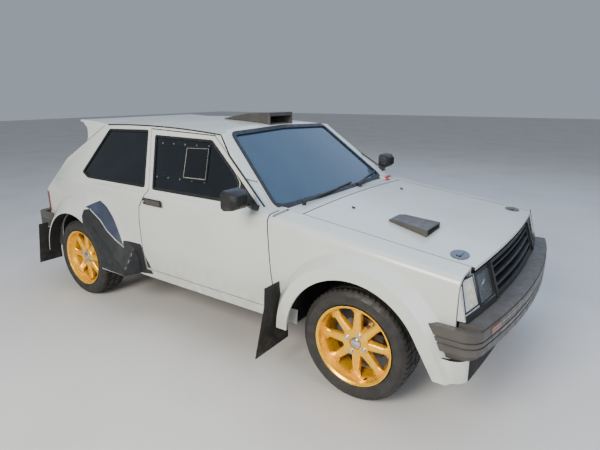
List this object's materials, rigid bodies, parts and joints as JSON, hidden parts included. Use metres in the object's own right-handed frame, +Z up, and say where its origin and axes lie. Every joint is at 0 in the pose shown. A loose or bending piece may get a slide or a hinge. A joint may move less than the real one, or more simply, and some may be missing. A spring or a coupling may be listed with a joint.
{
  "type": "rally car",
  "caption": "Two-door hatchback rally car with flared arches, gold spoked wheels, roof scoop, bonnet duct, roll cage, opening doors, bonnet and tailgate, and steering.",
  "frame": {"origin": "on the ground, midway between the axles and at the middle of the overall length", "axes": "+X forward, +Y to the car's left, +Z up"},
  "size_m": [3.6298, 1.93, 1.35],
  "materials": {
    "body_paint": "solid paint, pale warm grey, satin",
    "dark_plastic": "moulded, fine grain",
    "lamp_frame": "semi-gloss",
    "clear_lens": "ribbed lens",
    "red_lens": "ribbed lens",
    "tinted_glass": "tinted",
    "side_window_plastic": "dark polycarbonate sheet",
    "black_steel": "satin black",
    "flap_rubber": "flat sheet",
    "seat_fabric": "woven cover over a moulded shell",
    "cage_tube": "painted steel tube",
    "black_trim": "flocked",
    "wheel_leather": "suede",
    "engine_iron": "cast",
    "cast_alloy": "cast",
    "radiator_alloy": "finned core",
    "exhaust_steel": "dull",
    "chassis_steel": "black",
    "gold_alloy": "gold, semi-gloss",
    "tyre": "moulded"
  },
  "bodies": {
    "root": {"body_sides": "body_paint", "front_structure": "body_paint", "floor_pan": "body_paint", "tail_panel": "body_paint", "roof_panel": "body_paint", "fender_left": "body_paint", "fender_right": "body_paint", "windscreen": "tinted_glass", "quarter_windows": "side_window_plastic", "roof_scoop": "dark_plastic", "headlamps": "lamp_frame", "corner_lamps": "clear_lens", "grille": "dark_plastic", "front_bumper": "dark_plastic", "front_spoiler": "body_paint", "rear_bumper": "dark_plastic", "tail_lamps": "red_lens", "front_subframe": "chassis_steel", "rear_axle": "chassis_steel", "engine": "engine_iron", "transmission": "cast_alloy", "radiator": "radiator_alloy", "exhaust": "exhaust_steel", "seats": "seat_fabric", "roll_cage": "cage_tube", "dashboard": "black_trim", "wipers": "black_steel", "mudflaps": "flap_rubber"},
    "door_right": {"door_right": "body_paint", "door_window_right": "side_window_plastic", "mirror_right": "dark_plastic"},
    "door_left": {"door_left": "body_paint", "door_window_left": "side_window_plastic", "mirror_left": "dark_plastic"},
    "bonnet": {"bonnet": "body_paint", "bonnet_duct": "dark_plastic"},
    "tailgate": {"tailgate": "body_paint", "tailgate_window": "tinted_glass", "roof_spoiler": "body_paint"},
    "knuckle_right": {"knuckle_right": "chassis_steel"},
    "knuckle_left": {"knuckle_left": "chassis_steel"},
    "wheel_front_right": {"wheel_front_right": "gold_alloy", "tyre_front_right": "tyre"},
    "wheel_front_left": {"wheel_front_left": "gold_alloy", "tyre_front_left": "tyre"},
    "wheel_rear_right": {"wheel_rear_right": "gold_alloy", "tyre_rear_right": "tyre"},
    "wheel_rear_left": {"wheel_rear_left": "gold_alloy", "tyre_rear_left": "tyre"},
    "steering_wheel": {"steering_wheel": "wheel_leather"}
  },
  "joints": [
    {"name": "door_right_hinge", "type": "hinge", "parent": "root", "child": "door_right", "pos_m": [0.675, -0.757, 0.6], "axis": [0, 0, 1], "range_deg": [0, 65]},
    {"name": "door_left_hinge", "type": "hinge", "parent": "root", "child": "door_left", "pos_m": [0.675, 0.757, 0.6], "axis": [0, 0, -1], "range_deg": [0, 65]},
    {"name": "bonnet_hinge", "type": "hinge", "parent": "root", "child": "bonnet", "pos_m": [0.762, 0, 0.89], "axis": [0, -1, 0], "range_deg": [0, 55]},
    {"name": "tailgate_hinge", "type": "hinge", "parent": "root", "child": "tailgate", "pos_m": [-0.962, 0, 1.3], "axis": [0, 1, 0], "range_deg": [0, 70]},
    {"name": "steer_left", "type": "hinge", "parent": "root", "child": "knuckle_left", "pos_m": [1.15, 0.6, 0.185], "axis": [-0.0158, -0.2295, 0.9732], "range_deg": [-28, 28]},
    {"name": "steer_right", "type": "hinge", "parent": "root", "child": "knuckle_right", "pos_m": [1.15, -0.6, 0.185], "axis": [-0.0158, 0.2295, 0.9732], "range_deg": [-28, 28]},
    {"name": "steering_wheel_turn", "type": "hinge", "parent": "root", "child": "steering_wheel", "pos_m": [0.226, -0.35, 0.817], "axis": [-0.9052, 0, 0.4251], "range_deg": [-336, 336]},
    {"name": "wheel_front_left_spin", "type": "hinge", "parent": "knuckle_left", "child": "wheel_front_left", "pos_m": [1.15, 0.657, 0.288], "axis": [0, 1, 0], "continuous": true},
    {"name": "wheel_front_right_spin", "type": "hinge", "parent": "knuckle_right", "child": "wheel_front_right", "pos_m": [1.15, -0.657, 0.288], "axis": [0, 1, 0], "continuous": true},
    {"name": "wheel_rear_left_spin", "type": "hinge", "parent": "root", "child": "wheel_rear_left", "pos_m": [-1.15, 0.681, 0.288], "axis": [0, 1, 0], "continuous": true},
    {"name": "wheel_rear_right_spin", "type": "hinge", "parent": "root", "child": "wheel_rear_right", "pos_m": [-1.15, -0.681, 0.288], "axis": [0, 1, 0], "continuous": true}
  ],
  "couplings": [
    {"joint": "steer_right", "follows": "steer_left", "ratio": 1},
    {"joint": "steering_wheel_turn", "follows": "steer_left", "ratio": 12}
  ]
}
